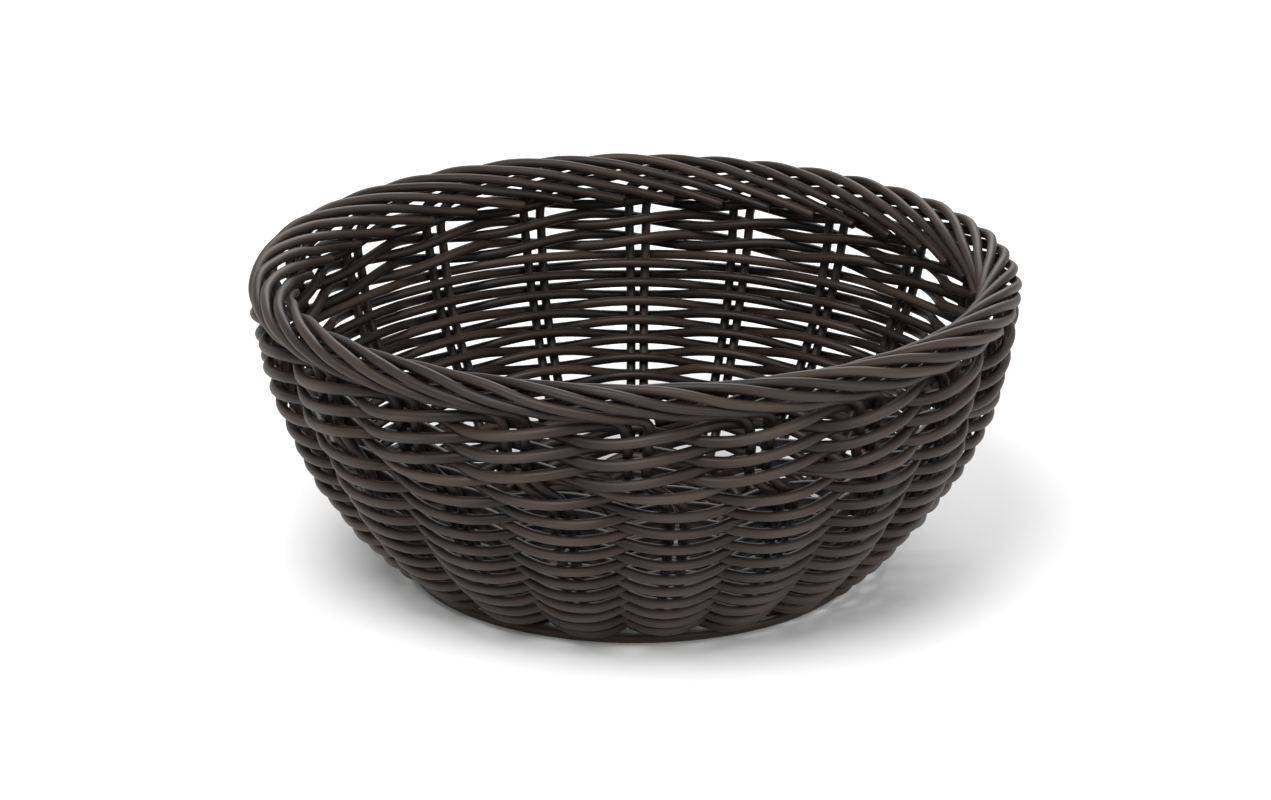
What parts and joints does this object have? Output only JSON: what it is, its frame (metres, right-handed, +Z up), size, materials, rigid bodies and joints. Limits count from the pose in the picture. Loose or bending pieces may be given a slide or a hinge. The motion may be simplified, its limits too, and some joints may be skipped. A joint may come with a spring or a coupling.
{
  "type": "woven fruit basket",
  "caption": "Round open fruit basket with a bowl-shaped wall of plain weave, a woven base and a rolled border, woven from dark plastic cane.",
  "frame": {"origin": "centre of the foot ring, on the surface that the basket stands on", "axes": "+Z up through the open mouth; -Y is the front, and the basket looks much the same from all round"},
  "size_m": [0.2474, 0.2474, 0.1011],
  "materials": {
    "weaver_cane": "satin extruded cane, dark brown, faint lengthwise streaks",
    "stake_cane": "satin extruded cane, dark brown, faint lengthwise streaks"
  },
  "bodies": {
    "root": {"base_stick_01": "stake_cane", "base_stick_02": "stake_cane", "base_stick_03": "stake_cane", "base_stick_04": "stake_cane", "base_stick_05": "stake_cane", "base_stick_06": "stake_cane", "base_stick_07": "stake_cane", "base_stick_08": "stake_cane", "base_stick_09": "stake_cane", "base_stick_10": "stake_cane", "base_round_1": "weaver_cane", "base_round_2": "weaver_cane", "base_round_3": "weaver_cane", "base_round_4": "weaver_cane", "base_round_5": "weaver_cane", "base_round_6": "weaver_cane", "foot_ring": "weaver_cane", "stake_pair_01": "stake_cane", "stake_pair_02": "stake_cane", "stake_pair_03": "stake_cane", "stake_pair_04": "stake_cane", "stake_pair_05": "stake_cane", "stake_pair_06": "stake_cane", "stake_pair_07": "stake_cane", "stake_pair_08": "stake_cane", "stake_pair_09": "stake_cane", "stake_pair_10": "stake_cane", "stake_pair_11": "stake_cane", "stake_pair_12": "stake_cane", "stake_pair_13": "stake_cane", "stake_pair_14": "stake_cane", "stake_pair_15": "stake_cane", "stake_pair_16": "stake_cane", "stake_pair_17": "stake_cane", "stake_pair_18": "stake_cane", "stake_pair_19": "stake_cane", "stake_pair_20": "stake_cane", "wall_row_01": "weaver_cane", "wall_row_02": "weaver_cane", "wall_row_03": "weaver_cane", "wall_row_04": "weaver_cane", "wall_row_05": "weaver_cane", "wall_row_06": "weaver_cane", "wall_row_07": "weaver_cane", "wall_row_08": "weaver_cane", "wall_row_09": "weaver_cane", "wall_row_10": "weaver_cane", "wall_row_11": "weaver_cane", "wall_row_12": "weaver_cane", "wall_row_13": "weaver_cane", "wall_row_14": "weaver_cane"}
  },
  "joints": []
}
